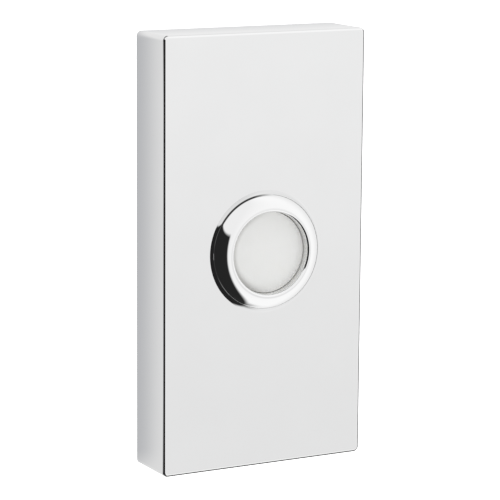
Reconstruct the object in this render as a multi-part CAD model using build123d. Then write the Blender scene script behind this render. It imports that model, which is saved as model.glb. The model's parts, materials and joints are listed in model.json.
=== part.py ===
from build123d import *
import math
import os

# Surface-mounted push button for a doorbell.
# Frame: the origin is the middle of the wall plane, +Z is up, the front faces -Y.
# Depths called u are millimetres out from the wall, so y = -u.

# ---- driving dimensions (mm) ----
COVER_W = 42.4
COVER_H = 82.5
COVER_D = 11.3
COVER_CORNER_R = 1.0       # outline corners
COVER_EDGE_R = 0.5         # soft polished edge round the front
COVER_WALL = 2.0
COVER_FRONT = 2.2
COVER_INNER_R = 0.8
COVER_HOLE_R = 9.8         # clears the bezel barrel

RING_BASE_R = 11.62        # ring where it meets the cover
RING_DRAFT = 21.0          # lean of the short straight foot, degrees
RING_FOOT = 0.38           # length of that foot
RIM_CREST_R = 8.26         # where the half-round is highest
RIM_INNER_R = 7.81
BARREL_R = 9.7
BARREL_BACK_U = 2.3
LIP_BACK_U = 11.0          # back of the lip that keeps the cap in
BORE_R = 8.5
REAR_BORE_R = 8.8
REAR_BORE_U = 6.0
SNAP_GROOVE_R = 9.15
SNAP_U0, SNAP_U1 = 2.9, 3.6

CAP_R = 7.72
CAP_FRONT_U = 12.65
CAP_DOME = 0.45            # rise of the softly domed face
CAP_FLAT_R = 1.0           # flat middle of the face
CAP_EDGE_R = 0.12
CAP_FLANGE_R = 8.3
CAP_FLANGE_U0, CAP_FLANGE_U1 = 9.5, 10.98
CAP_SKIRT_R = 8.1
CAP_SKIRT_U = 8.5
CAP_HOLLOW_R = 5.2
CAP_HOLLOW_U = 11.75
PEG_R = 0.6
PEG_POS = 6.7
PEG_END_U = 7.8

BRIDGE_T = 0.4
BRIDGE_R_OUT, BRIDGE_R_IN = 8.05, 5.3

BASE_R = 8.75
BASE_U0, BASE_U1 = 3.6, 6.0
COLLAR_R_OUT, COLLAR_R_IN, COLLAR_U = 3.6, 2.0, 6.8

SPRING_R = 4.2
SPRING_WIRE_R = 0.25
SPRING_TURNS = 5.5
SPRING_U0, SPRING_U1 = 6.02, 11.73

LAMP_R = 1.6
LAMP_U0, LAMP_U1 = 4.6, 9.6
LEAD_R = 0.25
LEAD_X = 0.8
LEAD_U = 2.75
LEAD_END_X = 4.75

STRIP_T = 0.6
RIVET_X = 6.0
RIVET_HEAD_R, RIVET_HEAD_U = 1.2, 6.55
RIVET_SHANK_R = 0.8
RIVET_TAIL_R, RIVET_TAIL_U = 1.1, 2.6
TERM_X, TERM_Z = 3.4, -4.0
TERM_HOLE_R = 1.25
TERM_DEEP_U = 5.2
TERM_HEAD_R, TERM_HEAD_H = 2.0, 1.4
TERM_WASHER_R, TERM_WASHER_T = 2.1, 0.4

LOCK_T = 0.5
LOCK_R_IN, LOCK_R_OUT, LOCK_TOOTH_R = 9.85, 11.2, 11.9
LOCK_TEETH = 18
NUT_AF = 24.0
NUT_T = 2.2
NUT_BORE_R = 9.72

BRACKET_W = 37.6
BRACKET_T = 1.0
BRACKET_BOTTOM = -38.9
BRACKET_CORNER_R = 1.0
WINDOW_W, WINDOW_H = 22.0, 48.0
WINDOW_R = 0.6
WALL_HOLE_Z = 30.0
WALL_HOLE_R = 2.2
TONGUE_W = 13.6
TONGUE_U0, TONGUE_U1 = 2.8, 4.0
TONGUE_TOP = 40.0
POCKET_CLEAR = 0.2
FOOT_W = 16.0
FOOT_U = 7.2
FOOT_Z0, FOOT_Z1 = -37.6, -36.4
BOSS_W = 8.0
BOSS_U0, BOSS_U1 = 2.6, 7.4
BOSS_TOP = -37.8

GRUB_R = 2.0
GRUB_U = 5.0
GRUB_Z0 = -40.95
GRUB_DOG_R = 1.4
GRUB_DOG_END = -36.6
GRUB_SOCKET_AF = 2.0
GRUB_SOCKET_DEEP = 1.8

os.makedirs("parts", exist_ok=True)


def write(name, shape):
    export_step(shape, "parts/%s.step" % name)


def wall_box(x0, x1, u0, u1, z0, z1):
    """Box given by depths from the wall."""
    return Pos((x0 + x1) / 2, -(u0 + u1) / 2, (z0 + z1) / 2) * Box(x1 - x0, u1 - u0, z1 - z0)


def rod(r, u0, u1, x=0.0, z=0.0):
    """Round rod along the depth axis."""
    return Pos(x, -(u0 + u1) / 2, z) * Rot(90, 0, 0) * Cylinder(r, u1 - u0)


def plate(sketch, u0, u1):
    """A flat outline, drawn as seen from the front, given thickness from u0 to u1."""
    face_plane = Plane(origin=(0, -u0, 0), x_dir=(1, 0, 0), z_dir=(0, -1, 0))
    return extrude(face_plane * sketch, amount=u1 - u0)


def turned(points):
    """Solid of revolution about the depth axis from (radius, u) corners."""
    wire = Polyline(*[(r, -u) for r, u in points], close=True)
    return revolve(make_face(wire), Axis.Y)


def disc_ring(r_out, r_in, u0, u1):
    return rod(r_out, u0, u1) - rod(r_in, u0 - 1, u1 + 1)


# ---- cover: one shell, open to the wall ----
inside_u = COVER_D - COVER_FRONT
outer = plate(RectangleRounded(COVER_W, COVER_H, COVER_CORNER_R), 0, COVER_D)
outer = fillet(outer.faces().sort_by(Axis.Y)[0].edges(), COVER_EDGE_R)
inner_w = COVER_W - 2 * COVER_WALL
inner_h = COVER_H - 2 * COVER_WALL
cavity = plate(RectangleRounded(inner_w, inner_h, COVER_INNER_R), -1, inside_u)
cover = outer - cavity
cover -= rod(COVER_HOLE_R, inside_u - 1, COVER_D + 1)
# pocket in the top wall for the bracket's tongue
cover -= wall_box(-TONGUE_W / 2 - POCKET_CLEAR, TONGUE_W / 2 + POCKET_CLEAR,
                  TONGUE_U0 - POCKET_CLEAR, TONGUE_U1 + POCKET_CLEAR,
                  inner_h / 2 - 0.5, TONGUE_TOP + POCKET_CLEAR)
# boss on the bottom wall, with the hole for the grub screw
cover += wall_box(-BOSS_W / 2, BOSS_W / 2, BOSS_U0, BOSS_U1, -inner_h / 2 - 0.5, BOSS_TOP)
cover -= Pos(0, -GRUB_U, (-COVER_H / 2 + BOSS_TOP) / 2) * Cylinder(GRUB_R, COVER_H / 2 + BOSS_TOP + 2)
write("cover", cover)


# ---- bezel: turned half-round ring, and its barrel ----
draft = math.radians(RING_DRAFT)
foot = (RING_BASE_R - RING_FOOT * math.sin(draft), RING_FOOT * math.cos(draft))
round_r = (foot[0] - RIM_CREST_R) / math.cos(draft)
round_c = (RIM_CREST_R, foot[1] - round_r * math.sin(draft))
half = (draft + math.pi / 2) / 2
round_m = (round_c[0] + round_r * math.cos(half), round_c[1] + round_r * math.sin(half))
RING_H = round_c[1] + round_r
crest = (RIM_CREST_R, RING_H)
inner_r = RIM_CREST_R - RIM_INNER_R
edge_m = (RIM_CREST_R - inner_r * math.sin(math.pi / 4), RING_H - inner_r * (1 - math.cos(math.pi / 4)))
edge_b = (RIM_INNER_R, RING_H - inner_r)


def up(p):
    return (p[0], -(COVER_D + p[1]))


def at(r, u):
    return (r, -u)


ring_line = [
    Line(at(BARREL_R, COVER_D), up((RING_BASE_R, 0))),
    Line(up((RING_BASE_R, 0)), up(foot)),
    ThreePointArc(up(foot), up(round_m), up(crest)),
    ThreePointArc(up(crest), up(edge_m), up(edge_b)),
]
corners = [
    (RIM_INNER_R, LIP_BACK_U), (BORE_R, LIP_BACK_U), (BORE_R, REAR_BORE_U), (REAR_BORE_R, REAR_BORE_U),
    (REAR_BORE_R, SNAP_U1), (SNAP_GROOVE_R, SNAP_U1), (SNAP_GROOVE_R, SNAP_U0), (REAR_BORE_R, SNAP_U0),
    (REAR_BORE_R, BARREL_BACK_U), (BARREL_R, BARREL_BACK_U), (BARREL_R, COVER_D),
]
here = up(edge_b)
for r, u in corners:
    ring_line.append(Line(here, at(r, u)))
    here = at(r, u)
bezel = revolve(make_face(Wire(ring_line)), Axis.Y)
write("bezel", bezel)

# ---- lens cap: moulded white cup with a softly domed face and a flange that stops behind the ring's lip ----
c45 = math.cos(math.pi / 4)
face_r = CAP_R - CAP_EDGE_R
dome_r = ((face_r - CAP_FLAT_R) ** 2 + CAP_DOME ** 2) / (2 * CAP_DOME)
edge_u = CAP_FRONT_U - CAP_DOME
cap_line = [
    Line(at(0, CAP_HOLLOW_U), at(0, CAP_FRONT_U)),
    Line(at(0, CAP_FRONT_U), at(CAP_FLAT_R, CAP_FRONT_U)),
    ThreePointArc(at(CAP_FLAT_R, CAP_FRONT_U),
                  at((CAP_FLAT_R + face_r) / 2,
                     CAP_FRONT_U - dome_r + math.sqrt(dome_r ** 2 - ((face_r - CAP_FLAT_R) / 2) ** 2)),
                  at(face_r, edge_u)),
    ThreePointArc(at(face_r, edge_u),
                  at(CAP_R - CAP_EDGE_R * (1 - c45), edge_u - CAP_EDGE_R * (1 - c45)),
                  at(CAP_R, edge_u - CAP_EDGE_R)),
]
here = at(CAP_R, edge_u - CAP_EDGE_R)
for r, u in [(CAP_R, CAP_FLANGE_U1), (CAP_FLANGE_R, CAP_FLANGE_U1), (CAP_FLANGE_R, CAP_FLANGE_U0),
             (CAP_SKIRT_R, CAP_FLANGE_U0), (CAP_SKIRT_R, CAP_SKIRT_U), (CAP_HOLLOW_R, CAP_SKIRT_U),
             (CAP_HOLLOW_R, CAP_HOLLOW_U), (0, CAP_HOLLOW_U)]:
    cap_line.append(Line(here, at(r, u)))
    here = at(r, u)
lens_cap = revolve(make_face(Wire(cap_line)), Axis.Y)
for side in (1, -1):
    lens_cap += rod(PEG_R, PEG_END_U, CAP_SKIRT_U + 0.5, 0, side * PEG_POS)
write("lens_cap", lens_cap)

# ---- contact ring on the rear of the cap ----
bridge = disc_ring(BRIDGE_R_OUT, BRIDGE_R_IN, CAP_SKIRT_U - BRIDGE_T, CAP_SKIRT_U)
for side in (1, -1):
    bridge -= rod(PEG_R, CAP_SKIRT_U - 2, CAP_SKIRT_U + 1, 0, side * PEG_POS)
write("contact_bridge", bridge)

# ---- return spring ----
spring_h = SPRING_U1 - SPRING_U0 - 2 * SPRING_WIRE_R
coil = Helix(pitch=spring_h / SPRING_TURNS, height=spring_h, radius=SPRING_R)
wire_end = Plane(origin=coil @ 0, z_dir=coil % 0) * Circle(SPRING_WIRE_R)
spring = sweep(wire_end, path=coil, is_frenet=True)
spring = Pos(0, -(SPRING_U0 + SPRING_WIRE_R), 0) * Rot(90, 0, 0) * spring
write("return_spring", spring)

# ---- insulating base ----
base = rod(BASE_R, BASE_U0, BASE_U1)
base += disc_ring(COLLAR_R_OUT, COLLAR_R_IN, BASE_U1 - 0.5, COLLAR_U)
base -= rod(LAMP_R, LAMP_U0, BASE_U1 + 1)
for side in (1, -1):
    base -= rod(RIVET_SHANK_R, BASE_U0 - 1, BASE_U1 + 1, side * RIVET_X, 0)
    base -= rod(TERM_HOLE_R, BASE_U0 - 1, TERM_DEEP_U, side * TERM_X, TERM_Z)
    base -= rod(LEAD_R, BASE_U0 - 1, LAMP_U0 + 0.5, side * LEAD_X, 0)
write("base", base)

# ---- contact strips, rivets, terminal screws and washers ----
strip_u0 = BASE_U0 - STRIP_T
washer_u0 = strip_u0 - TERM_WASHER_T
head_u0 = washer_u0 - TERM_HEAD_H
for side, word in ((-1, "left"), (1, "right")):
    a = Vector(side * RIVET_X, 0)
    b = Vector(side * TERM_X, TERM_Z)
    run = b - a
    bar = Pos((a.X + b.X) / 2, (a.Y + b.Y) / 2) * Rot(0, 0, math.degrees(math.atan2(run.Y, run.X))) * Rectangle(run.length, 2.6)
    outline = bar + Pos(a.X, a.Y) * Circle(1.6) + Pos(b.X, b.Y) * Circle(2.2)
    outline -= Pos(a.X, a.Y) * Circle(RIVET_SHANK_R)
    outline -= Pos(b.X, b.Y) * Circle(TERM_HOLE_R)
    write("fixed_contact_" + word, plate(outline, strip_u0, BASE_U0))

    head = rod(RIVET_HEAD_R, BASE_U1, RIVET_HEAD_U, side * RIVET_X, 0)
    head = fillet(head.edges().sort_by(Axis.Y)[0], 0.25)
    tail_end = rod(RIVET_TAIL_R, RIVET_TAIL_U, strip_u0, side * RIVET_X, 0)
    tail_end = fillet(tail_end.edges().sort_by(Axis.Y)[-1], 0.25)
    rivet = rod(RIVET_SHANK_R, strip_u0, BASE_U1, side * RIVET_X, 0) + head + tail_end
    write("contact_rivet_" + word, rivet)

    screw_head = rod(TERM_HEAD_R, head_u0, washer_u0, side * TERM_X, TERM_Z)
    screw_head = fillet(screw_head.edges().sort_by(Axis.Y)[-1], 0.5)
    screw = screw_head + rod(TERM_HOLE_R, washer_u0, TERM_DEEP_U, side * TERM_X, TERM_Z)
    screw -= wall_box(side * TERM_X - 3, side * TERM_X + 3, head_u0 - 1, head_u0 + 0.7, TERM_Z - 0.3, TERM_Z + 0.3)
    write("terminal_screw_" + word, screw)

    washer = rod(TERM_WASHER_R, washer_u0, strip_u0, side * TERM_X, TERM_Z)
    washer -= rod(TERM_HOLE_R, washer_u0 - 1, strip_u0 + 1, side * TERM_X, TERM_Z)
    write("terminal_washer_" + word, washer)

# ---- lamp and its leads ----
lamp = rod(LAMP_R, LAMP_U0, LAMP_U1)
lamp = fillet(lamp.edges().sort_by(Axis.Y)[0], LAMP_R - 0.15)
write("lamp", lamp)
leads = []
for side in (1, -1):
    path = FilletPolyline((side * LEAD_X, -LAMP_U0, 0), (side * LEAD_X, -LEAD_U, 0),
                          (side * LEAD_END_X, -LEAD_U, 0), radius=0.5)
    leads.append(sweep(Plane(origin=path @ 0, z_dir=path % 0) * Circle(LEAD_R), path=path))
write("lamp_leads", Compound(children=leads))

# ---- snap ring behind the base ----
snap = disc_ring(SNAP_GROOVE_R - 0.05, 7.75, SNAP_U0, SNAP_U1)
for side in (1, -1):
    lug = Rot(0, -side * 16, 0) * (wall_box(-1.1, 1.1, SNAP_U0, SNAP_U1, 6.0, 8.0))
    snap += lug
for side in (1, -1):
    snap -= Rot(0, -side * 16, 0) * rod(0.5, SNAP_U0 - 1, SNAP_U1 + 1, 0, 6.9)
snap -= wall_box(-1.0, 1.0, SNAP_U0 - 1, SNAP_U1 + 1, 5, 10)
write("retaining_ring", snap)

# ---- lock washer and nut on the barrel ----
lock_u1 = inside_u
lock_u0 = lock_u1 - LOCK_T
lock = disc_ring(LOCK_R_OUT, LOCK_R_IN, lock_u0, lock_u1)
for i in range(LOCK_TEETH):
    lock += Rot(0, 360.0 * i / LOCK_TEETH, 0) * wall_box(-0.9, 0.9, lock_u0, lock_u1, LOCK_R_OUT - 0.6, LOCK_TOOTH_R)
write("lock_washer", lock)
nut_u1 = lock_u0
nut_u0 = nut_u1 - NUT_T
nut = plate(RegularPolygon(NUT_AF / 2, 6, major_radius=False), nut_u0, nut_u1)
nut_r = NUT_AF / math.sqrt(3)
crown = turned([(0, nut_u0), (nut_r - 1.2, nut_u0), (nut_r + 0.6, nut_u0 + 1.0), (nut_r + 0.6, nut_u1), (0, nut_u1)])
nut = (nut & crown) - rod(NUT_BORE_R, nut_u0 - 1, nut_u1 + 1)
write("barrel_nut", nut)

# ---- wall bracket ----
bracket_top = inner_h / 2
bracket_h = bracket_top - BRACKET_BOTTOM
outline = Pos(0, (bracket_top + BRACKET_BOTTOM) / 2) * RectangleRounded(BRACKET_W, bracket_h, BRACKET_CORNER_R)
outline -= RectangleRounded(WINDOW_W, WINDOW_H, WINDOW_R)
for z in (WALL_HOLE_Z, -WALL_HOLE_Z):
    outline -= Pos(0, z) * Circle(WALL_HOLE_R)
bracket = plate(outline, 0, BRACKET_T)
bracket += wall_box(-TONGUE_W / 2, TONGUE_W / 2, 0.3, TONGUE_U1, bracket_top - BRACKET_T, bracket_top)
bracket += wall_box(-TONGUE_W / 2, TONGUE_W / 2, TONGUE_U0, TONGUE_U1, bracket_top - BRACKET_T, TONGUE_TOP)
bracket += wall_box(-FOOT_W / 2, FOOT_W / 2, 0.3, FOOT_U, FOOT_Z0, FOOT_Z1)
bracket -= Pos(0, -GRUB_U, (FOOT_Z0 + FOOT_Z1) / 2) * Cylinder(GRUB_DOG_R + 0.2, FOOT_Z1 - FOOT_Z0 + 2)
write("mounting_bracket", bracket)

# ---- grub screw through the bottom edge ----
grub_len = FOOT_Z0 - GRUB_Z0
grub = Pos(0, -GRUB_U, (GRUB_Z0 + FOOT_Z0) / 2) * Cylinder(GRUB_R, grub_len)
grub += Pos(0, -GRUB_U, (FOOT_Z0 + GRUB_DOG_END) / 2) * Cylinder(GRUB_DOG_R, GRUB_DOG_END - FOOT_Z0)
socket = Plane(origin=(0, -GRUB_U, GRUB_Z0 - 0.5)) * RegularPolygon(GRUB_SOCKET_AF / 2, 6, major_radius=False)
grub -= extrude(socket, amount=GRUB_SOCKET_DEEP + 0.5)
write("set_screw", grub)

print("ring height %.3f, cap recess %.3f" % (RING_H, COVER_D + RING_H - CAP_FRONT_U))
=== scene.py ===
import json
import math

import bpy
import bmesh
from mathutils import Matrix, Vector

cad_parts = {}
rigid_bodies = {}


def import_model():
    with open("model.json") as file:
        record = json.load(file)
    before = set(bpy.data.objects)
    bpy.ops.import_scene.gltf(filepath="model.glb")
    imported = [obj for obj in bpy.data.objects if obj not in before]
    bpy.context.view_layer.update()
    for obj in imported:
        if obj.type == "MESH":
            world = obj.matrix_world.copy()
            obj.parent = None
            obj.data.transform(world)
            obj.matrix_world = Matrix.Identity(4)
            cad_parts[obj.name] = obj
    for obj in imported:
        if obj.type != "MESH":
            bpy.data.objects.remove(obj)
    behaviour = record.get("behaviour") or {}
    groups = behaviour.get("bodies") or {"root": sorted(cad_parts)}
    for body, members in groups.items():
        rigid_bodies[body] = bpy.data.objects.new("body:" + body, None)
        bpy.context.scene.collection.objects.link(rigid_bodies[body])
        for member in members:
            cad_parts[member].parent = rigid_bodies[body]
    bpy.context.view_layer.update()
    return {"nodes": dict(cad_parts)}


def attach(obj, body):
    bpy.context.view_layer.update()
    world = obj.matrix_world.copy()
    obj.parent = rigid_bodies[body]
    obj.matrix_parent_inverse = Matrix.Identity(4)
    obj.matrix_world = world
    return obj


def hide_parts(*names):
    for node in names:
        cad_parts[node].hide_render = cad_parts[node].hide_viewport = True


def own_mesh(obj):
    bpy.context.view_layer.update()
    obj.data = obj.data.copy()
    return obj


for left in list(bpy.data.objects):
    bpy.data.objects.remove(left, do_unlink=True)

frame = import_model()
nodes = frame["nodes"]
scene = bpy.context.scene
MM = 0.001

# ------------------------------------------------------------------ sizes, in millimetres
# u is the distance out from the wall, so y = -u
COVER_W, COVER_H, COVER_D = 42.4, 82.5, 11.3
RING_BASE_R, RING_DRAFT, RING_FOOT = 11.62, 21.0, 0.38
RIM_CREST_R, RIM_INNER_R = 8.26, 7.81
BARREL_R, BARREL_BACK_U = 9.7, 2.3
LIP_BACK_U = 11.0
BORE_R, REAR_BORE_R, REAR_BORE_U = 8.5, 8.8, 6.0
SNAP_GROOVE_R, SNAP_U0, SNAP_U1 = 9.15, 2.9, 3.6
THREAD_U0, THREAD_U1, THREAD_PITCH, THREAD_DEPTH = 2.6, 9.0, 0.8, 0.38
SPRING_R, SPRING_WIRE_R, SPRING_TURNS = 4.2, 0.25, 5.5
SPRING_U0, SPRING_U1 = 6.02, 11.73


# ------------------------------------------------------------------ mesh helpers
def piece(name, bm, smooth=True):
    bmesh.ops.recalc_face_normals(bm, faces=bm.faces)
    mesh = bpy.data.meshes.new(name)
    bm.to_mesh(mesh)
    bm.free()
    obj = bpy.data.objects.new(name, mesh)
    scene.collection.objects.link(obj)
    if smooth:
        for p in mesh.polygons:
            p.use_smooth = True
    return obj


def crease(obj, degrees):
    """Smooth shading that breaks at edges sharper than this."""
    for p in obj.data.polygons:
        p.use_smooth = True
    bm = bmesh.new()
    bm.from_mesh(obj.data)
    limit = math.radians(degrees)
    for e in bm.edges:
        if len(e.link_faces) == 2 and e.calc_face_angle() > limit:
            e.smooth = False
    bm.to_mesh(obj.data)
    bm.free()


def arc(cr, cu, radius, a0, a1, steps):
    """Points of a profile arc, angles in degrees from the radial direction towards the front."""
    out = []
    for k in range(steps + 1):
        a = math.radians(a0 + (a1 - a0) * k / steps)
        out.append((cr + radius * math.cos(a), cu + radius * math.sin(a)))
    return out


def lathe(name, profile, segments, offset=None):
    """Closed profile of (radius, u) turned about the depth axis. offset(i, angle) moves a point's radius."""
    bm = bmesh.new()
    rings = []
    for i, (r, u) in enumerate(profile):
        ring = []
        for k in range(segments):
            a = 2 * math.pi * k / segments
            rr = r if offset is None else r + offset(i, a)
            ring.append(bm.verts.new((rr * math.cos(a) * MM, -u * MM, rr * math.sin(a) * MM)))
        rings.append(ring)
    n = len(rings)
    for i in range(n):
        a, b = rings[i], rings[(i + 1) % n]
        for k in range(segments):
            j = (k + 1) % segments
            bm.faces.new((a[k], a[j], b[j], b[k]))
    return piece(name, bm)


# ------------------------------------------------------------------ turned bezel with its threaded barrel
draft = math.radians(RING_DRAFT)
foot = (RING_BASE_R - RING_FOOT * math.sin(draft), COVER_D + RING_FOOT * math.cos(draft))
round_r = (foot[0] - RIM_CREST_R) / math.cos(draft)
bead = arc(RIM_CREST_R, foot[1] - round_r * math.sin(draft), round_r, RING_DRAFT, 90.0, 56)
RING_FRONT = bead[-1][1]
inner_r = RIM_CREST_R - RIM_INNER_R
inner_edge = arc(RIM_CREST_R, RING_FRONT - inner_r, inner_r, 90.0, 180.0, 14)


def edge_line(points):
    """Straight runs between corners, with two close rows at each end so that shading stays crisp."""
    out = []
    for (r0, u0), (r1, u1) in zip(points, points[1:]):
        t = min(0.03 / math.hypot(r1 - r0, u1 - u0), 0.15)
        out += [(r0 + (r1 - r0) * k, u0 + (u1 - u0) * k) for k in (t, 2 * t, 1 - 2 * t, 1 - t)]
    return out


foot_line = [(RING_BASE_R - 0.02, COVER_D)] + [(RING_BASE_R - k * math.sin(draft), COVER_D + k * math.cos(draft))
                                              for k in (0.02, 0.04, 0.19, 0.34)]
front_part = foot_line + bead + inner_edge[1:]
back_corners = [(RIM_INNER_R, RING_FRONT - inner_r), (RIM_INNER_R, LIP_BACK_U), (BORE_R, LIP_BACK_U),
                (BORE_R, REAR_BORE_U), (REAR_BORE_R, REAR_BORE_U), (REAR_BORE_R, SNAP_U1), (SNAP_GROOVE_R, SNAP_U1),
                (SNAP_GROOVE_R, SNAP_U0), (REAR_BORE_R, SNAP_U0), (REAR_BORE_R, BARREL_BACK_U + 0.15),
                (REAR_BORE_R + 0.15, BARREL_BACK_U), (BARREL_R - 0.4, BARREL_BACK_U)]
back_part = edge_line(back_corners)[1:] + [(BARREL_R - 0.38, BARREL_BACK_U + 0.02)]
thread_rows = int((THREAD_U1 - THREAD_U0) / THREAD_PITCH * 10)
thread_part = [(BARREL_R, THREAD_U0 + (THREAD_U1 - THREAD_U0) * k / thread_rows) for k in range(thread_rows + 1)]
thread_first = len(front_part) + len(back_part)
barrel_end = [(BARREL_R, THREAD_U1 + 0.2), (BARREL_R, COVER_D - 0.04), (BARREL_R + 0.04, COVER_D)]
profile = front_part + back_part + thread_part + barrel_end


def thread_offset(i, angle):
    k = i - thread_first
    if k < 0 or k > thread_rows:
        return 0.0
    u = thread_part[k][1]
    turn = (u / THREAD_PITCH + angle / (2 * math.pi)) % 1.0
    v = abs(2 * turn - 1)                       # 0 at the root, 1 at the crest
    v = min(max((v - 0.08) / 0.78, 0.0), 1.0)
    fade = min((u - THREAD_U0) / 0.5, (THREAD_U1 - u) / 0.5, 1.0)
    start = THREAD_DEPTH * (1 - min((u - THREAD_U0) / 0.4, 1.0))
    return -THREAD_DEPTH * (1 - v) * max(fade, 0.0) - start


bezel = lathe("bezel_turned", profile, 288, thread_offset)
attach(bezel, "housing")
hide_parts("bezel")


# ------------------------------------------------------------------ coiled return spring
def coil(name):
    steps_turn, around = 40, 12
    dead = 0.9                                   # closed turn at each end
    total = SPRING_TURNS
    rise = SPRING_U1 - SPRING_U0 - 2 * SPRING_WIRE_R
    count = int(total * steps_turn)
    line = []
    for i in range(count + 1):
        t = total * i / count
        if t < dead:
            f = 0.10 * t / dead
        elif t > total - dead:
            f = 1 - 0.10 * (total - t) / dead
        else:
            f = 0.10 + 0.80 * (t - dead) / (total - 2 * dead)
        a = 2 * math.pi * t
        line.append(Vector((SPRING_R * math.cos(a), -(SPRING_U0 + SPRING_WIRE_R + rise * f), SPRING_R * math.sin(a))))
    bm = bmesh.new()
    rings = []
    for i, p in enumerate(line):
        d = (line[min(i + 1, count)] - line[max(i - 1, 0)]).normalized()
        out = Vector((p.x, 0, p.z)).normalized()
        side = d.cross(out).normalized()
        out = side.cross(d)
        rings.append([bm.verts.new((p + SPRING_WIRE_R * (math.cos(2 * math.pi * k / around) * out
                                                         + math.sin(2 * math.pi * k / around) * side)) * MM)
                      for k in range(around)])
    for a, b in zip(rings, rings[1:]):
        for k in range(around):
            j = (k + 1) % around
            bm.faces.new((a[k], a[j], b[j], b[k]))
    for ring, p in ((rings[0], line[0]), (rings[-1], line[-1])):
        bm.faces.new(ring)
    return piece(name, bm)


spring = coil("spring_coil")
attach(spring, "housing")
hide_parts("return_spring")
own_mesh(spring)


# ------------------------------------------------------------------ materials
class Nodes:
    def __init__(self, name):
        self.mat = bpy.data.materials.new(name)
        self.mat.use_nodes = True
        self.tree = self.mat.node_tree
        self.bsdf = self.tree.nodes["Principled BSDF"]
        self.coords = self.add("ShaderNodeTexCoord").outputs["Object"]

    def add(self, kind, **props):
        n = self.tree.nodes.new(kind)
        for k, v in props.items():
            setattr(n, k, v)
        return n

    def link(self, a, b):
        self.tree.links.new(a, b)

    def set(self, **values):
        for k, v in values.items():
            self.bsdf.inputs[k.replace("_", " ")].default_value = v

    def noise(self, scale, detail=4.0, rough=0.5, stretch=None, distort=0.0):
        n = self.add("ShaderNodeTexNoise")
        n.inputs["Scale"].default_value = scale
        n.inputs["Detail"].default_value = detail
        n.inputs["Roughness"].default_value = rough
        n.inputs["Distortion"].default_value = distort
        src = self.coords
        if stretch:
            m = self.add("ShaderNodeMapping")
            m.inputs["Scale"].default_value = stretch
            self.link(src, m.inputs["Vector"])
            src = m.outputs["Vector"]
        self.link(src, n.inputs["Vector"])
        return n.outputs["Fac"]

    def remap(self, value, a0, a1, b0, b1, smooth=False):
        n = self.add("ShaderNodeMapRange")
        if smooth:
            n.interpolation_type = "SMOOTHSTEP"
        for i, v in enumerate((a0, a1, b0, b1)):
            n.inputs[i + 1].default_value = v
        self.link(value, n.inputs[0])
        return n.outputs[0]

    def ramp(self, value, *stops):
        n = self.add("ShaderNodeValToRGB")
        els = n.color_ramp.elements
        while len(els) < len(stops):
            els.new(0.5)
        for e, (pos, col) in zip(els, stops):
            e.position = pos
            e.color = (*col, 1)
        self.link(value, n.inputs["Fac"])
        return n.outputs["Color"]

    def mix(self, fac, a, b):
        n = self.add("ShaderNodeMix", data_type="RGBA")
        for src, i in ((fac, 0), (a, 6), (b, 7)):
            if hasattr(src, "links") or hasattr(src, "is_linked"):
                self.link(src, n.inputs[i])
            elif i == 0:
                n.inputs[i].default_value = src
            else:
                n.inputs[i].default_value = (*src, 1)
        return n.outputs[2]

    def math(self, op, a, b=None):
        n = self.add("ShaderNodeMath", operation=op)
        for src, i in ((a, 0), (b, 1)):
            if src is None:
                continue
            if hasattr(src, "is_linked"):
                self.link(src, n.inputs[i])
            else:
                n.inputs[i].default_value = src
        return n.outputs[0]

    def bump(self, height, strength, distance):
        n = self.add("ShaderNodeBump")
        n.inputs["Strength"].default_value = strength
        n.inputs["Distance"].default_value = distance
        self.link(height, n.inputs["Height"])
        self.link(n.outputs["Normal"], self.bsdf.inputs["Normal"])

    def xyz(self):
        n = self.add("ShaderNodeSeparateXYZ")
        self.link(self.coords, n.inputs[0])
        return n.outputs


def chrome_material():
    """Bright chrome plate, polished outside, dull cast metal where the shell is hollow."""
    m = Nodes("polished_chrome")
    x, y, z = m.xyz()
    inside_x = m.remap(m.math("ABSOLUTE", x), 0.01925, 0.0193, 1, 0)
    inside_z = m.remap(m.math("ABSOLUTE", z), 0.0393, 0.03935, 1, 0)
    inside_y = m.remap(y, -0.0096, -0.0095, 0, 1)
    inside = m.math("MULTIPLY", m.math("MULTIPLY", inside_x, inside_z), inside_y)
    haze = m.noise(90, 3)
    polish = m.noise(2500, 2, stretch=(1, 1, 0.06))
    tone = m.ramp(haze, (0.3, (0.795, 0.796, 0.797)), (0.7, (0.807, 0.808, 0.809)))
    cast = m.ramp(m.noise(1400, 5), (0.3, (0.40, 0.40, 0.395)), (0.7, (0.52, 0.52, 0.51)))
    m.link(m.mix(inside, tone, cast), m.bsdf.inputs["Base Color"])
    rough = m.math("ADD", m.remap(haze, 0.3, 0.7, 0.012, 0.022), m.remap(polish, 0.35, 0.65, 0.0, 0.006))
    rough = m.math("ADD", rough, m.math("MULTIPLY", inside, m.remap(m.noise(1800, 4), 0.3, 0.7, 0.30, 0.42)))
    m.link(rough, m.bsdf.inputs["Roughness"])
    m.set(Metallic=1.0)
    grain = m.math("MULTIPLY", m.noise(2600, 4), m.remap(inside, 0, 1, 0.0, 1.0))
    m.bump(grain, 0.25, 0.00006)
    return m.mat


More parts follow.
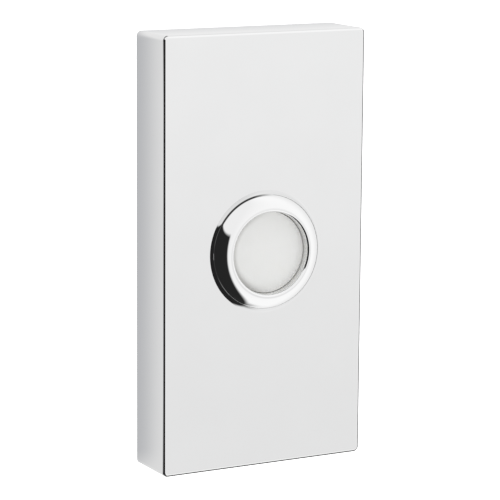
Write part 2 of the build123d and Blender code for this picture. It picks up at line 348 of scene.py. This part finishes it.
def ring_material():
    """Chrome on the turned ring and barrel: bright in front, satin with turning marks at the back."""
    m = Nodes("turned_chrome")
    x, y, z = m.xyz()
    behind = m.remap(y, -0.0113, -0.0112, 0, 1)
    radius = m.math("SQRT", m.math("ADD", m.math("MULTIPLY", x, x), m.math("MULTIPLY", z, z)))
    bore = m.remap(radius, 0.00783, 0.00781, 0, 1)
    haze = m.noise(150, 3)
    turned = m.noise(5200, 2, stretch=(0.02, 1, 0.02))
    tone = m.ramp(haze, (0.3, (0.800, 0.801, 0.802)), (0.7, (0.812, 0.813, 0.814)))
    dull = m.ramp(m.noise(900, 4), (0.3, (0.60, 0.595, 0.58)), (0.7, (0.72, 0.715, 0.70)))
    # the bore is satin, and its brighter tone is painted light that lifts the shade of the recess around the lens
    satin = m.ramp(haze, (0.3, (0.905, 0.905, 0.90)), (0.7, (0.925, 0.925, 0.92)))
    tone = m.mix(bore, tone, satin)
    m.link(m.mix(behind, tone, dull), m.bsdf.inputs["Base Color"])
    rough = m.math("ADD", m.remap(haze, 0.3, 0.7, 0.012, 0.02),
                   m.math("MULTIPLY", behind, m.remap(turned, 0.3, 0.7, 0.12, 0.26)))
    rough = m.math("ADD", rough, m.math("MULTIPLY", bore, 0.42))
    m.link(rough, m.bsdf.inputs["Roughness"])
    m.set(Metallic=1.0)
    m.bump(m.math("MULTIPLY", turned, behind), 0.2, 0.00003)
    return m.mat


def cap_material():
    """White translucent moulded cap with a fine satin skin; its colour carries painted light: lighter towards the rim,
    painted shade on the left of the rim, and a front face that glows as painted light.
    """
    m = Nodes("opal_plastic")
    x, y, z = m.xyz()
    cloud = m.noise(160, 3)
    radius = m.math("SQRT", m.math("ADD", m.math("MULTIPLY", x, x), m.math("MULTIPLY", z, z)))
    rim = m.remap(radius, 0.0062, 0.0077, 0, 1, True)
    tone = m.ramp(cloud, (0.25, (0.585, 0.588, 0.580)), (0.75, (0.600, 0.603, 0.596)))
    # painted light: the cap is made lighter towards its rim to lift the shade of the recess
    edge = m.ramp(cloud, (0.25, (0.640, 0.640, 0.628)), (0.75, (0.660, 0.660, 0.648)))
    # painted shade: the left side of the rim is darkened as if it lay in the ring's shadow
    painted_rim_shade = m.math("MULTIPLY", m.remap(radius, 0.0062, 0.0077, 0, 1, True), m.remap(x, 0.0015, -0.0055, 0, 1, True))
    m.link(m.mix(painted_rim_shade, m.mix(rim, tone, edge), (0.30, 0.30, 0.29)), m.bsdf.inputs["Base Color"])
    m.link(m.remap(m.noise(3000, 3), 0.3, 0.7, 0.30, 0.40), m.bsdf.inputs["Roughness"])
    m.set(IOR=1.49, Subsurface_Weight=0.35, Subsurface_Scale=0.001, Emission_Strength=0.17)
    # painted light: the front face glows to brighten the lens, and the glow is halved at the left rim as painted shade
    front = m.remap(y, -0.0117, -0.0120, 0, 1)
    painted_glow = m.math("MULTIPLY", front, m.remap(painted_rim_shade, 0.0, 1.0, 1.0, 0.5))
    m.link(m.mix(painted_glow, (0.0, 0.0, 0.0), (1.0, 0.995, 0.97)), m.bsdf.inputs["Emission Color"])
    m.bsdf.inputs["Subsurface Radius"].default_value = (1.0, 0.95, 0.85)
    m.bump(m.noise(9000, 2), 0.06, 0.00002)
    return m.mat


def metal_material(name, dark, light, rough, scale=600, bump=0.12, stretch=None, depth=0.00003, patina=None):
    m = Nodes(name)
    n = m.noise(scale, 5, stretch=stretch)
    col = m.ramp(n, (0.3, dark), (0.7, light))
    if patina:
        spots = m.remap(m.noise(scale * 0.35, 6, 0.65), 0.55, 0.75, 0.0, 0.55, True)
        col = m.mix(spots, col, patina)
    m.link(col, m.bsdf.inputs["Base Color"])
    m.link(m.remap(m.noise(scale * 2.3, 3, stretch=stretch), 0.3, 0.7, rough[0], rough[1]), m.bsdf.inputs["Roughness"])
    m.set(Metallic=1.0)
    m.bump(m.noise(scale * 4, 3, stretch=stretch), bump, depth)
    return m.mat


def insulator_material():
    m = Nodes("phenolic_moulding")
    speck = m.noise(1700, 6, 0.7)
    m.link(m.ramp(speck, (0.35, (0.018, 0.017, 0.016)), (0.62, (0.045, 0.041, 0.037)), (0.80, (0.085, 0.074, 0.062))),
           m.bsdf.inputs["Base Color"])
    m.link(m.remap(m.noise(1200, 4), 0.3, 0.7, 0.34, 0.55), m.bsdf.inputs["Roughness"])
    m.set(IOR=1.55)
    m.bump(m.noise(5200, 4), 0.18, 0.00003)
    return m.mat


def glass_material():
    m = Nodes("lamp_bulb_glass")
    m.link(m.ramp(m.noise(500, 3), (0.3, (0.93, 0.95, 0.93)), (0.7, (0.98, 0.985, 0.98))), m.bsdf.inputs["Base Color"])
    m.link(m.remap(m.noise(700, 3), 0.3, 0.7, 0.01, 0.05), m.bsdf.inputs["Roughness"])
    m.set(IOR=1.5, Transmission_Weight=1.0)
    return m.mat


finish = {
    "chrome": chrome_material(),
    "white_cap": cap_material(),
    "contact_brass": metal_material("contact_brass", (0.55, 0.37, 0.13), (0.70, 0.50, 0.21), (0.20, 0.34), 500, 0.15,
                                    (0.25, 1, 1), patina=(0.34, 0.22, 0.09)),
    "nickel_brass": metal_material("nickel_plate", (0.58, 0.56, 0.52), (0.69, 0.67, 0.63), (0.16, 0.28), 700, 0.12),
    "spring_steel": metal_material("spring_wire", (0.40, 0.40, 0.40), (0.55, 0.55, 0.56), (0.18, 0.30), 900, 0.15),
    "dark_steel": metal_material("black_oxide", (0.035, 0.035, 0.038), (0.085, 0.085, 0.09), (0.30, 0.46), 900, 0.2),
    "zinc_steel": metal_material("zinc_plate", (0.50, 0.515, 0.52), (0.66, 0.675, 0.67), (0.24, 0.40), 260, 0.14,
                                 patina=(0.60, 0.60, 0.52)),
    "insulator": insulator_material(),
    "lamp_glass": glass_material(),
    "tinned_wire": metal_material("tinned_wire", (0.56, 0.56, 0.55), (0.70, 0.70, 0.69), (0.22, 0.38), 900, 0.2),
}
slot_of = {}
for name, obj in nodes.items():
    slots = [m.name.split(".")[0] for m in obj.data.materials if m]
    slot_of[name] = slots[0] if slots else None
    for i, s in enumerate(slots):
        if s in finish:
            obj.data.materials[i] = finish[s]
        else:
            print("no finish for", name, s)
bezel.data.materials.append(ring_material())
spring.data.materials.append(finish["spring_steel"])

# ------------------------------------------------------------------ camera, at the photograph's angle
AZ, EL, ROLL = math.radians(-28.5674), math.radians(10.4090), math.radians(0.41767)
DIST, TX, TZ, FOCAL_PX = 472.482, 2.96405, -1.84923, 2458.70
back = Vector((math.sin(AZ) * math.cos(EL), -math.cos(AZ) * math.cos(EL), math.sin(EL)))
eye = Vector((TX, 0, TZ)) + back * DIST
ahead = -back
right = ahead.cross(Vector((0, 0, 1))).normalized()
upward = right.cross(ahead)
right2 = math.cos(ROLL) * right + math.sin(ROLL) * upward
up2 = -math.sin(ROLL) * right + math.cos(ROLL) * upward
cam = bpy.data.cameras.new("camera")
cam.sensor_width = 36
cam.lens = 36 * FOCAL_PX / 500
cam.clip_start, cam.clip_end = 0.01, 100
cam_obj = bpy.data.objects.new("camera", cam)
scene.collection.objects.link(cam_obj)
pose = Matrix.Identity(4)
for i in range(3):
    pose[i][0], pose[i][1], pose[i][2], pose[i][3] = right2[i], up2[i], back[i], eye[i] * MM
cam_obj.matrix_world = pose
scene.camera = cam_obj
scene.view_settings.view_transform = "Standard"
scene.view_settings.look = "None"

# ------------------------------------------------------------------ studio: white surround with black flags
world = bpy.data.worlds.new("studio")
scene.world = world
world.use_nodes = True
wt = world.node_tree
wt.nodes.clear()
w_out = wt.nodes.new("ShaderNodeOutputWorld")
w_coord = wt.nodes.new("ShaderNodeTexCoord")
w_sep = wt.nodes.new("ShaderNodeSeparateXYZ")
wt.links.new(w_coord.outputs["Generated"], w_sep.inputs[0])
WX, WY, WZ = w_sep.outputs


def w_math(op, a, b=None):
    n = wt.nodes.new("ShaderNodeMath")
    n.operation = op
    for src, i in ((a, 0), (b, 1)):
        if src is None:
            continue
        if hasattr(src, "is_linked"):
            wt.links.new(src, n.inputs[i])
        else:
            n.inputs[i].default_value = src
    return n.outputs[0]


def w_step(value, a, b):
    """0 at a, 1 at b, smooth between."""
    n = wt.nodes.new("ShaderNodeMapRange")
    n.interpolation_type = "SMOOTHSTEP"
    if a < b:
        n.inputs[1].default_value, n.inputs[2].default_value = a, b
        n.inputs[3].default_value, n.inputs[4].default_value = 0.0, 1.0
    else:
        n.inputs[1].default_value, n.inputs[2].default_value = b, a
        n.inputs[3].default_value, n.inputs[4].default_value = 1.0, 0.0
    wt.links.new(value, n.inputs[0])
    return n.outputs[0]


def w_dot(direction):
    n = wt.nodes.new("ShaderNodeVectorMath")
    n.operation = "DOT_PRODUCT"
    n.inputs[1].default_value = Vector(direction).normalized()
    wt.links.new(w_coord.outputs["Generated"], n.inputs[0])
    return n.outputs["Value"]


def w_over(base, colour, mask):
    n = wt.nodes.new("ShaderNodeMix")
    n.data_type = "RGBA"
    wt.links.new(mask, n.inputs[0])
    for src, i in ((base, 6), (colour, 7)):
        if hasattr(src, "is_linked"):
            wt.links.new(src, n.inputs[i])
        else:
            n.inputs[i].default_value = (*src, 1) if hasattr(src, "__len__") else (src, src, src, 1)
    return n.outputs[2]


def w_and(*masks):
    out = masks[0]
    for m in masks[1:]:
        out = w_math("MULTIPLY", out, m)
    return out


DEG = 180 / math.pi
W_AZ = w_math("MULTIPLY", w_math("ARCTAN2", WX, w_math("MULTIPLY", WY, -1.0)), DEG)
W_EL = w_math("MULTIPLY", w_math("ARCSINE", WZ), DEG)


def w_line(value, slope, offset):
    return w_math("ADD", w_math("MULTIPLY", value, slope), offset)


# front half: a white tent, brighter to the right and below, falling off at the far right
sky = w_over(1.05, 1.17, w_step(W_AZ, -10, 45))
sky = w_over(sky, 1.17, w_step(W_EL, -15, -40))
sky = w_over(sky, 1.02, w_step(W_AZ, 48, 92))
# a little dimmer where the flat face looks
face = w_over(1.035, 0.95, w_step(W_EL, -4.5, -16))
sky = w_over(sky, face, w_step(w_dot((0.467, -0.864, -0.186)), 0.978, 0.995))
# black flag on the left, from above eye level down
flag_side = w_math("SUBTRACT", w_line(W_EL, -0.25, -7.5), W_AZ)
flag_soft = w_line(w_math("MAXIMUM", w_math("MULTIPLY", W_EL, -1.0), 0.0), 0.10, 4.5)
flag_top = w_math("SUBTRACT", w_line(W_AZ, -0.42, 11.5 - 0.42 * 20.0), W_EL)
flag = w_and(w_step(w_math("DIVIDE", flag_side, flag_soft), -1, 1), w_step(flag_top, -2.5, 2.5))
sky = w_over(sky, 0.022, flag)
# dark underside
sky = w_over(sky, 0.03, w_and(w_step(W_EL, -58, -90), w_step(W_AZ, 80, 30)))
# dark edge of the tent on the left
sky = w_over(sky, 0.02, w_and(w_step(WY, -0.17, -0.07), w_step(WZ, -0.30, 0.0), w_step(WX, 0.65, 0.10)))
# rear half
rear = w_over(0.05, 0.45, w_step(WZ, -0.60, -1.0))
rear = w_over(rear, 0.10, w_step(WZ, 0.0, 0.2))
rear = w_over(rear, 1.0, w_step(WX, 0.45, 0.65))
rear = w_over(rear, 1.05, w_and(w_step(WZ, 0.25, 0.40), w_step(WX, 0.15, 0.40)))
rear = w_over(rear, 0.03, w_and(w_step(WZ, -0.35, -0.50), w_step(WX, 0.20, 0.35)))
rear = w_over(rear, 0.85, w_step(WY, 0.64, 0.86))
rear = w_over(rear, 0.80, w_and(w_step(WX, -0.35, -0.55), w_step(WZ, -0.08, -0.13), w_step(WZ, -0.29, -0.23), w_step(WY, 0.02, 0.10)))
behind = w_math("SUBTRACT", WY, w_math("MULTIPLY", w_step(WX, 0.2, 0.4), 0.10))
sky = w_over(sky, rear, w_step(behind, -0.01, 0.01))
# what the camera itself sees is plain white
w_path = wt.nodes.new("ShaderNodeLightPath")
sky = w_over(sky, (1.0, 1.0, 1.0), w_path.outputs["Is Camera Ray"])
w_bg = wt.nodes.new("ShaderNodeBackground")
wt.links.new(sky, w_bg.inputs["Color"])
# matt surfaces get the studio a little lower than the mirrors do
wt.links.new(w_line(w_path.outputs["Is Diffuse Ray"], -0.30, 1.0), w_bg.inputs["Strength"])
wt.links.new(w_bg.outputs[0], w_out.inputs["Surface"])


# card behind the plate, which its polished sides mirror; it carries a painted contact shadow, darker next to the
# plate's left edge
def card():
    bm = bmesh.new()
    y = 0.6
    x0, z0 = COVER_W / 2 - 0.4, COVER_H / 2 - 0.4
    wide, below = 16.0, 8.0
    for left, right_x, low_z, high_z in ((-x0 - wide, -x0, -z0 - below, z0 + wide), (-x0, x0 + wide, z0, z0 + wide)):
        bm.faces.new([bm.verts.new((x * MM, y * MM, z * MM)) for x, z in
                      ((left, low_z), (right_x, low_z), (right_x, high_z), (left, high_z))])
    obj = piece("painted_shadow_card", bm, smooth=False)
    mat = bpy.data.materials.new("painted_shadow_card")
    mat.use_nodes = True
    t = mat.node_tree
    t.nodes.clear()
    out = t.nodes.new("ShaderNodeOutputMaterial")
    emit = t.nodes.new("ShaderNodeEmission")
    pos = t.nodes.new("ShaderNodeTexCoord")
    sep = t.nodes.new("ShaderNodeSeparateXYZ")
    t.links.new(pos.outputs["Object"], sep.inputs[0])

    def m(op, a, b=None):
        n = t.nodes.new("ShaderNodeMath")
        n.operation = op
        for src, i in ((a, 0), (b, 1)):
            if src is None:
                continue
            if hasattr(src, "is_linked"):
                t.links.new(src, n.inputs[i])
            else:
                n.inputs[i].default_value = src
        return n.outputs[0]

    side = m("SUBTRACT", m("MULTIPLY", sep.outputs[0], -1.0), COVER_W / 2 * MM)
    top = m("SUBTRACT", sep.outputs[2], COVER_H / 2 * MM)
    low = m("SUBTRACT", m("MULTIPLY", sep.outputs[2], -1.0), COVER_H / 2 * MM)

    def span(value, a, b):
        n = t.nodes.new("ShaderNodeMapRange")
        n.interpolation_type = "SMOOTHSTEP"
        n.inputs[1].default_value, n.inputs[2].default_value = a, b
        t.links.new(value, n.inputs[0])
        return n.outputs[0]

    def blend(fac, a, b):
        n = t.nodes.new("ShaderNodeMix")
        n.data_type = "RGBA"
        t.links.new(fac, n.inputs[0])
        for src, i in ((a, 6), (b, 7)):
            if hasattr(src, "is_linked"):
                t.links.new(src, n.inputs[i])
            else:
                n.inputs[i].default_value = (*src, 1)
        return n.outputs[2]

    # painted contact shadow: the card is darker within 6.5 mm of the plate's left edge
    tone = blend(span(side, 0.0, 0.0065), (0.575, 0.582, 0.60), (0.86, 0.86, 0.86))
    tone = blend(span(low, -0.003, 0.003), tone, (0.86, 0.86, 0.86))
    tone = blend(span(top, -0.002, 0.002), tone, (0.955, 0.955, 0.955))
    t.links.new(tone, emit.inputs["Color"])
    t.links.new(emit.outputs[0], out.inputs["Surface"])
    obj.data.materials.append(mat)
    obj.visible_camera = False
    obj.visible_diffuse = False
    obj.visible_shadow = False
    obj.visible_transmission = False
    return obj


card()


# low dark strips beside and below the plate that stand in for the shade there; its polished front edge mirrors them as
# painted shade
def strips():
    bm = bmesh.new()
    gap, front, rear_y = 0.5, -(COVER_D + 0.5), -(COVER_D - 1.6)
    x0, x1 = -COVER_W / 2 + 0.6, COVER_W / 2 + gap
    z0, z1 = -COVER_H / 2 - gap, COVER_H / 2 - 0.1
    for a, b in (((x0, z0), (x1, z0)), ((x1, z0), (x1, z1))):
        bm.faces.new([bm.verts.new((x * MM, y * MM, z * MM))
                      for (x, z), y in ((a, front), (b, front), (b, rear_y), (a, rear_y))])
    obj = piece("painted_shade_strips", bm, smooth=False)
    mat = bpy.data.materials.new("painted_shade_strips")
    mat.use_nodes = True
    t = mat.node_tree
    t.nodes.clear()
    out = t.nodes.new("ShaderNodeOutputMaterial")
    emit = t.nodes.new("ShaderNodeEmission")
    # painted shade: near black, seen only in the plate's reflections
    emit.inputs["Color"].default_value = (0.03, 0.03, 0.03, 1)
    t.links.new(emit.outputs[0], out.inputs["Surface"])
    obj.data.materials.append(mat)
    obj.visible_camera = False
    obj.visible_diffuse = False
    obj.visible_shadow = False
    obj.visible_transmission = False
    return obj


strips()

# plain pale floor, well under the object
bm = bmesh.new()
bmesh.ops.create_grid(bm, x_segments=1, y_segments=1, size=6.0)
floor = piece("floor", bm, smooth=False)
floor.location = (0, 0, -0.16)
fm = bpy.data.materials.new("floor")
fm.use_nodes = True
fm.node_tree.nodes["Principled BSDF"].inputs["Base Color"].default_value = (0.9, 0.9, 0.9, 1)
fm.node_tree.nodes["Principled BSDF"].inputs["Roughness"].default_value = 0.9
fm.node_tree.nodes["Principled BSDF"].inputs["Emission Color"].default_value = (1, 1, 1, 1)
fm.node_tree.nodes["Principled BSDF"].inputs["Emission Strength"].default_value = 1.0
floor.data.materials.append(fm)
floor.visible_glossy = False
